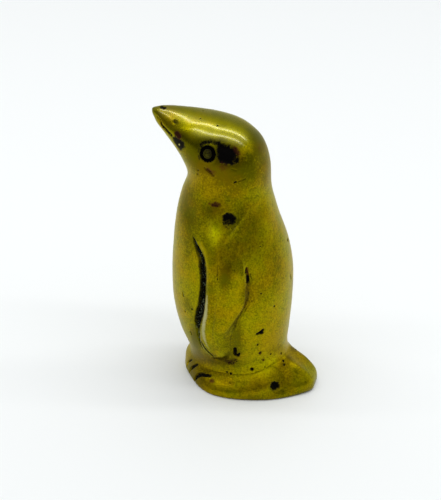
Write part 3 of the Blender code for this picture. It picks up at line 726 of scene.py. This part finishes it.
def carveFine():
    # cuts the lines and marks, and keeps what the material reads at each point
    places, normals = readPoints(skin)
    lift, _, dirtAndShadow, brown, green, rubAndGlint, speck = readCarving(places)
    x, y, z = np.abs(places[:, 0]), places[:, 1], places[:, 2]
    dullAndShade = np.zeros(len(places))
    # the darker tones are partly patina and partly painted shade, the paler ones painted highlight
    for atY, atZ, reachY, reachZ, strength in tones:
        dullAndShade += strength * np.exp(-((y - atY) / reachY) ** 2 - ((z - atZ) / reachZ) ** 2)
    over, head, crown, nape, hem = (wear[name] for name in ("closesOver", "polish", "crown", "nape", "hem"))
    overTop = over["by"] * softStep(*over["head"], z)
    overTail = over["by"] * softStep(*over["tail"], y)
    dullAndShade *= softStep(*sides["fadeIn"], x + overTop + overTail)
    dullAndShade += nape["dullAndShade"] * (1 - softStep(*nape["x"], x)) * softStep(*nape["y"], y) * softStep(*nape["z"], z)
    # darker towards the table behind the feet: painted shade
    dullAndShade += hem["dullAndShade"] * softStep(*hem["y"], y) * (1 - softStep(*hem["z"], z))
    polish = softStep(*head["z"], z - head["rises"] * (y - head["levelAt"]))
    onCrown = softStep(*crown["z"], z) * (1 - softStep(*crown["x"], x))
    # above 0 the tones darken the metal, partly as painted shade; below 0 they lighten it, mostly as a
    # painted highlight
    dullAndShade, freshAndHighlight = np.clip(dullAndShade, 0, None) + crown["dullAndShade"] * onCrown, np.clip(-dullAndShade, 0, None)
    green = np.maximum(green, crown["green"] * onCrown)
    shine = np.zeros(len(places))
    for reach, *points in streaks:
        shine = np.maximum(shine, polish * bell(nearLine(toLeft(places), points)[0], reach))
    low, high = (np.array(corner) / mm for corner in cadBox)
    writePoints(skin, np.clip(places + normals * lift[:, None], low, high))
    for name, values in zip(wearLayers, (dirtAndShadow, brown, green, dullAndShade, freshAndHighlight, polish, shine, rubAndGlint, speck)):
        layer = skin.data.attributes.new(name, "FLOAT", "POINT")
        layer.data.foreach_set("value", values.astype(np.float32))


print("scene: softening the join and carving", len(skin.data.vertices), "points")
softenJoin()
carveBroad()
skinTree = BVHTree.FromPolygons([vert.co for vert in skin.data.vertices],
                                [face.vertices for face in skin.data.polygons])
guessedPits, guessedFilms = guessMarks()
refine()
carveFine()
print("scene: carved", len(skin.data.vertices), "points")

underside = {
    "halfWidth": 6.9, "front": -8.05, "back": 11.35, "deep": 1.8, "roundness": 2.1, "below": 1.0,
}


def seatOfPlate():
    # the recess that the plate lies in, as a shape that cuts
    bm = bmesh.new()
    bmesh.ops.create_circle(bm, cap_ends=True, radius=1.0, segments=88)
    middle = (underside["front"] + underside["back"]) / 2
    half = (underside["back"] - underside["front"]) / 2
    for vert in bm.verts:
        x, y = squared(math.atan2(vert.co.y, vert.co.x), underside["roundness"])
        vert.co = (x * underside["halfWidth"], middle + y * half, -underside["below"])
    risen = bmesh.ops.extrude_face_region(bm, geom=bm.faces[:])["geom"]
    bmesh.ops.translate(bm, verts=[part for part in risen if isinstance(part, bmesh.types.BMVert)],
                        vec=(0, 0, underside["below"] + underside["deep"]))
    bmesh.ops.recalc_face_normals(bm, faces=bm.faces)
    return newPiece("plateSeat", bm)


def cutFlat(bm, at, away):
    # cuts with a plane, drops what lies beyond it, and closes the cut with sharp edges
    bmesh.ops.bisect_plane(bm, geom=bm.verts[:] + bm.edges[:] + bm.faces[:], dist=1e-6, plane_co=at,
                           plane_no=away, clear_outer=True)
    rim = [edge for edge in bm.edges if edge.is_boundary]
    filled = bmesh.ops.holes_fill(bm, edges=rim, sides=0)["faces"]
    for face in filled:
        for edge in face.edges:
            edge.smooth = False
    bmesh.ops.triangulate(bm, faces=filled)


def discard(piece):
    mesh = piece.data
    bpy.data.objects.remove(piece)
    bpy.data.meshes.remove(mesh)


bm = opened(skin)
for face in bm.faces:
    face.smooth = True
cutFlat(bm, (0, 0, 0), (0, 0, -1))
stored(bm, skin)
seat = seatOfPlate()
recess = skin.modifiers.new("plateSeat", "BOOLEAN")
recess.operation, recess.solver, recess.object = "DIFFERENCE", "EXACT", seat
applied(skin)
discard(seat)

print("scene: the two halves")
halves = []
for side, sign in (("left", 1), ("right", -1)):
    bm = opened(skin)
    cutFlat(bm, (0, 0, 0), (-sign, 0, 0))
    bmesh.ops.scale(bm, vec=(mm, mm, mm), verts=bm.verts)
    half = newPiece(side + "_skin", bm)
    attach(half, "root")
    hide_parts(side + "_casting")
    halves.append(half)
discard(skin)


def makeEyePin(side, sign):
    bm = bmesh.new()
    rim = [bm.verts.new((radius, 0, height)) for radius, height in eye["pinProfile"]]
    line = [bm.edges.new(pair) for pair in zip(rim, rim[1:])]
    bmesh.ops.spin(bm, geom=rim + line, cent=(0, 0, 0), axis=(0, 0, 1), steps=eye["pinSteps"],
                   angle=math.tau, use_merge=True)
    bmesh.ops.remove_doubles(bm, verts=bm.verts, dist=0.001)
    turn = Vector(eye["axis"]).to_track_quat("Z", "Y").to_matrix().to_4x4()
    bmesh.ops.transform(bm, matrix=Matrix.Translation(Vector(eye["at"])) @ turn, verts=bm.verts)
    bmesh.ops.scale(bm, vec=(sign * mm, mm, mm), verts=bm.verts)
    bmesh.ops.recalc_face_normals(bm, faces=bm.faces)
    for face in bm.faces:
        face.smooth = True
    pin = newPiece(side + "_eye", bm)
    pin.data.set_sharp_from_angle(angle=math.radians(eye["pinSharp"]))
    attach(pin, "root")
    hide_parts(side + "_eye_pin")
    return pin


print("scene: eyes")
eyes = [makeEyePin("left", 1), makeEyePin("right", -1)]


class Wire:
    # a socket that takes part in plain arithmetic with other sockets and numbers

    def __init__(self, tree, socket):
        self.tree, self.socket = tree, socket

    def math(self, operation, first, second):
        node = self.tree.nodes.new("ShaderNodeMath")
        node.operation = operation
        for slot, value in zip(node.inputs, (first, second)):
            if isinstance(value, Wire):
                self.tree.links.new(value.socket, slot)
            else:
                slot.default_value = value
        return Wire(self.tree, node.outputs[0])

    def __add__(self, other):
        return self.math("ADD", self, other)

    def __radd__(self, other):
        return self.math("ADD", other, self)

    def __sub__(self, other):
        return self.math("SUBTRACT", self, other)

    def __rsub__(self, other):
        return self.math("SUBTRACT", other, self)

    def __mul__(self, other):
        return self.math("MULTIPLY", self, other)

    def __rmul__(self, other):
        return self.math("MULTIPLY", other, self)


class Finish:
    # the nodes of one material or of the surroundings

    def __init__(self, owner):
        owner.use_nodes = True
        self.owner, self.tree = owner, owner.node_tree

    def node(self, kind, settings=None, values=None, output=0):
        node = self.tree.nodes.new(kind)
        for name, value in (settings or {}).items():
            setattr(node, name, value)
        self.feed(node, values or {})
        return Wire(self.tree, node.outputs[output])

    def feed(self, node, values):
        for name, value in values.items():
            if isinstance(value, Wire):
                self.tree.links.new(value.socket, node.inputs[name])
            elif isinstance(value, tuple) and len(node.inputs[name].default_value) == 4:
                node.inputs[name].default_value = (*value, 1.0)
            else:
                node.inputs[name].default_value = value

    def millimetres(self):
        place = self.node("ShaderNodeTexCoord", output="Object")
        return self.node("ShaderNodeVectorMath", {"operation": "SCALE"}, {0: place, "Scale": 1 / mm})

    def parts(self, vector):
        # x, y and z of a vector
        split = self.node("ShaderNodeSeparateXYZ", {}, {0: vector}).socket.node
        return [Wire(self.tree, socket) for socket in split.outputs]

    def cloud(self, place, size, detail, roughness):
        # soft noise about 0, mostly between -0.5 and 0.5
        waves = self.node("ShaderNodeTexNoise", {}, {"Vector": place, "Scale": 1.0 / size, "Detail": detail,
                                                     "Roughness": roughness})
        return (waves - 0.5) * 2.4

    def layer(self, name):
        return self.node("ShaderNodeAttribute", {"attribute_name": name}, output="Fac")

    def step(self, value, low, high):
        return self.node("ShaderNodeMapRange", {"interpolation_type": "SMOOTHSTEP"},
                         {"Value": value, "From Min": low, "From Max": high})

    def blend(self, share, first, second):
        return self.node("ShaderNodeMix", {"data_type": "RGBA"}, {0: share, 6: first, 7: second}, output=2)

    def bump(self, height, strength=1.0):
        return self.node("ShaderNodeBump", {}, {"Height": height, "Distance": mm, "Strength": strength})

    def surface(self, values):
        self.feed(self.tree.nodes["Principled BSDF"], values)
        return self.owner


brassGlint = (1.0, 0.985, 0.75)   # tint of the highlights
castTones = {
    # bright and dull metal, each from olive to ochre; the dull ones also lay the painted shade of the
    # darker tones
    "brightOlive": (0.365, 0.33, 0.0005), "brightOchre": (0.41, 0.29, 0.0006),
    "dullOlive": (0.11, 0.1, 0.0005), "dullOchre": (0.15, 0.1, 0.0006),
    "black": (0.0015, 0.001, 0.0012), "paleSpeck": (0.17, 0.2, 0.11), "rust": (0.036, 0.009, 0.004),
    "film": (0.105, 0.045, 0.004), "verdigris": (0.075, 0.095, 0.004), "rubbedAndGlint": (0.4, 0.385, 0.18),
    # paler metal of the painted highlights
    "freshAndHighlight": (0.45, 0.44, 0.0006),
    "bodyRoughness": 0.35, "headRoughness": 0.28, "polishRoughness": 0.12,
    # size in millimetres, detail and roughness of each cloud
    "broad": (10.0, 2.0, 0.55), "patchy": (3.0, 3.0, 0.6), "mottle": (0.9, 3.0, 0.7),
    "grain": (0.42, 2.0, 0.8),
}


def castBrass():
    tone = castTones
    brass = Finish(bpy.data.materials.new("castBrassOldAndHandled"))
    place = brass.millimetres()
    dirtAndShadow, brown, green, dullAndShade, freshAndHighlight, polish, shine, rubAndGlint, speck = (brass.layer(name) for name in wearLayers)
    broad, patchy, mottle, grain = (
        brass.cloud(place, *tone[name]) for name in ("broad", "patchy", "mottle", "grain"))
    worn = 1 - polish * 0.92   # polish takes away most of the fine mottling
    bright = patchy * 0.22 + (mottle * 0.3 + grain * 0.78) * worn + 0.08 - dullAndShade * 0.85
    bright = brass.step(bright, -0.6, 0.6)
    ochre = brass.step(broad * 0.8 + patchy * 0.5 + mottle * 0.2 - polish * 0.35, -0.4, 0.4)
    metal = brass.blend(bright, brass.blend(ochre, tone["dullOlive"], tone["dullOchre"]),
                        brass.blend(ochre, tone["brightOlive"], tone["brightOchre"]))
    # paler metal laid as a painted highlight, as on the shoulder roll
    metal = brass.blend(freshAndHighlight * brass.step(mottle * 0.3 + grain * 0.8, -0.6, 0.5), metal, tone["freshAndHighlight"])
    metal = brass.blend(green * brass.step(mottle + grain, -0.4, 0.3), metal, tone["verdigris"])
    # pale rubbed edges, partly a painted rim highlight and a painted glint
    metal = brass.blend(brass.step(rubAndGlint + mottle * 0.25 + grain * 0.2, 0.2, 0.9), metal, tone["rubbedAndGlint"])
    filmed = brass.step(brown + mottle * 0.5 + grain * 0.4, 0.25, 0.85) * 0.85
    metal = brass.blend(filmed, metal, tone["film"])
    filthAndShadow = brass.blend(speck * brass.step(grain + mottle * 0.5, 0.1, 0.5), tone["black"], tone["paleSpeck"])
    filthAndShadow = brass.blend(brass.step(brown + mottle * 0.4, 0.2, 0.7), filthAndShadow, tone["rust"])
    # dark crust in lines, pits and smears, which under the flipper's tip is painted shadow
    crustAndShadow = brass.step(dirtAndShadow + mottle * 0.6 + grain * 0.6, -0.25, 0.5)
    roughness = (tone["bodyRoughness"] - polish * (tone["bodyRoughness"] - tone["headRoughness"])
                 + mottle * 0.05 + crustAndShadow * 0.2)
    height = patchy * 0.02 * (1 - polish * 0.7) + (mottle * 0.018 + grain * 0.008) * worn - crustAndShadow * 0.05
    return brass.surface({
        "Base Color": brass.blend(crustAndShadow, metal, filthAndShadow), "Metallic": 1 - crustAndShadow * 0.06,
        "Roughness": roughness, "Coat Weight": shine * (1 - crustAndShadow),
        "Coat Roughness": tone["polishRoughness"], "Specular Tint": brassGlint,
        "Normal": brass.bump(height, 0.9)})


pinTones = {
    "bare": (0.052, 0.048, 0.004), "dark": (0.02, 0.018, 0.003), "eyeShade": (0.012, 0.01, 0.004),
    "roughness": 0.34,
    "mottle": (0.6, 3.0, 0.6), "grain": (0.22, 2.0, 0.7),   # size, detail and roughness of each cloud
}


def pinBrass():
    tone = pinTones
    brass = Finish(bpy.data.materials.new("eyeBrassDarkened"))
    place = brass.millimetres()
    mottle, grain = brass.cloud(place, *tone["mottle"]), brass.cloud(place, *tone["grain"])
    dark = brass.step(mottle * 0.7 + grain * 0.4, -0.15, 0.45)
    _, along, height = brass.parts(place)
    # painted shade darkens the upper back part of the eye
    shadedPart = brass.step((along - eye["at"][1]) * 0.9 + (height - eye["at"][2]) * 0.6 + mottle, -0.2, 0.9)
    colour = brass.blend(dark * 0.6, tone["bare"], tone["dark"])
    return brass.surface({
        "Base Color": brass.blend(shadedPart * 0.85, colour, tone["eyeShade"]), "Metallic": 1 - dark * 0.2,
        "Roughness": tone["roughness"] + dark * 0.2, "Specular Tint": brassGlint,
        "Normal": brass.bump(mottle * 0.04 + grain * 0.015)})


plateTones = {
    "bare": (0.34, 0.265, 0.02), "dark": (0.12, 0.09, 0.012), "roughness": 0.3,
    "strokeTurn": 0.35, "strokeScale": (6.0, 0.35, 1.0), "patchy": (3.0, 4.0, 0.6),
}


def plateBrass():
    tone = plateTones
    brass = Finish(bpy.data.materials.new("plateBrassFiled"))
    place = brass.millimetres()
    strokes = brass.node("ShaderNodeMapping", {}, {
        "Vector": place, "Rotation": (0, 0, tone["strokeTurn"]), "Scale": tone["strokeScale"]})
    filed = brass.node("ShaderNodeTexNoise", {}, {"Vector": strokes, "Scale": 1.0, "Detail": 3.0})
    patchy = brass.cloud(place, *tone["patchy"])
    return brass.surface({
        "Base Color": brass.blend(brass.step(patchy, -0.3, 0.5), tone["bare"], tone["dark"]),
        "Metallic": 1.0, "Roughness": tone["roughness"] + filed * 0.25,
        "Normal": brass.bump(filed * 0.05 + patchy * 0.015)})


print("scene: finishes")
skinBrass, eyeBrass, bottomBrass = castBrass(), pinBrass(), plateBrass()
for half in halves:
    half.data.materials.clear()
    half.data.materials.append(skinBrass)
for pin in eyes:
    pin.data.materials.append(eyeBrass)
for name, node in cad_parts.items():
    node.data.materials.clear()
    node.data.materials.append(bottomBrass if name == "base_plate" else eyeBrass)

view = {
    "azimuth": 105.0, "elevation": 28.0, "roll": 2.0, "target": (-12.954, -7.568, 27.436),
    "distance": 0.32, "clip": (0.01, 50.0),   # metres
    "lens": 88.49, "sensor": 36.0,
}
room = {
    "overhead": 0.84,   # brightness straight up
    "cameraSide": 0.13,   # brightness of the horizon behind the camera
    "farSide": 0.72,   # and behind the figurine
    "sidesMeet": (-0.35, 0.35),   # x of the direction between which one becomes the other
    "rises": (0.1, 0.95),   # and z, from the horizon's brightness to the overhead one
    "seen": 0.9,   # brightness of what the camera sees of it
    "tint": (0.965, 0.985, 1.0),
    # place, size across and along in metres, brightness and turn of each tube
    "tubes": (((0.33, -0.05, 1.0), 0.085, 2.3, 6.4, 14.0), ((-0.13, 0.0, 1.0), 0.085, 2.0, 6.6, 15.7)),
}


def addCamera():
    azimuth, elevation, roll = (math.radians(view[key]) for key in ("azimuth", "elevation", "roll"))
    back = Vector((math.sin(azimuth) * math.cos(elevation), -math.cos(azimuth) * math.cos(elevation),
                   math.sin(elevation)))
    right = Vector((math.cos(azimuth), math.sin(azimuth), 0))
    up = back.cross(right)
    across = right * math.cos(roll) + up * math.sin(roll)
    upward = up * math.cos(roll) - right * math.sin(roll)
    data = bpy.data.cameras.new("photoCamera")
    data.lens, data.sensor_width, data.sensor_fit = view["lens"], view["sensor"], "AUTO"
    data.clip_start, data.clip_end = view["clip"]
    camera = bpy.data.objects.new("photoCamera", data)
    bpy.context.scene.collection.objects.link(camera)
    turn = Matrix((across, upward, back)).transposed().to_4x4()
    camera.matrix_world = Matrix.Translation(Vector(view["target"]) * mm + back * view["distance"]) @ turn
    bpy.context.scene.camera = camera


def addTube(place, across, along, brightness, turn):
    data = bpy.data.lights.new("ceilingTube", "AREA")
    data.shape, data.size, data.size_y = "RECTANGLE", across, along
    data.energy = brightness * math.pi * across * along
    tubeLight = bpy.data.objects.new("ceilingTube", data)
    bpy.context.scene.collection.objects.link(tubeLight)
    tubeLight.matrix_world = Matrix.Translation(Vector(place)) @ Matrix.Rotation(math.radians(turn), 4, "Z")


def addRoom():
    world = bpy.data.worlds.new("paleRoom")
    bpy.context.scene.world = world
    air = Finish(world)
    side, _, up = air.parts(air.node("ShaderNodeTexCoord", output="Generated"))
    wall = room["farSide"] - air.step(side, *room["sidesMeet"]) * (room["farSide"] - room["cameraSide"])
    rise = air.step(up, *room["rises"])
    bright = wall * (1 - rise) + rise * room["overhead"]
    seen = air.node("ShaderNodeLightPath", output="Is Camera Ray")
    air.feed(air.tree.nodes["Background"], {"Color": room["tint"],
                                            "Strength": bright * (1 - seen) + seen * room["seen"]})
    for tubeLight in room["tubes"]:
        addTube(*tubeLight)


tableTop = {
    "size": 4.0, "below": 0.00005, "roughness": 0.6,
    # the table is painted darker towards the camera: painted shade
    "far": (0.905, 0.92, 0.915), "near": (0.86, 0.875, 0.87), "changes": (-0.08, 0.1),   # x in metres
}


def addFloor():
    bm = bmesh.new()
    bmesh.ops.create_grid(bm, x_segments=1, y_segments=1, size=tableTop["size"])
    bmesh.ops.translate(bm, verts=bm.verts, vec=(0, 0, -tableTop["below"]))
    floor = newPiece("floor", bm)
    table = Finish(bpy.data.materials.new("paleTable"))
    x, _, _ = table.parts(table.node("ShaderNodeTexCoord", output="Object"))
    # painted shade: darker towards the camera
    paleness = table.blend(table.step(x, *tableTop["changes"]), tableTop["far"], tableTop["near"])
    floor.data.materials.append(table.surface({"Base Color": paleness, "Roughness": tableTop["roughness"]}))


print("scene: camera, floor and light")
addCamera()
addRoom()
addFloor()
bpy.context.scene.view_settings.view_transform = "Standard"

print("scene: done")
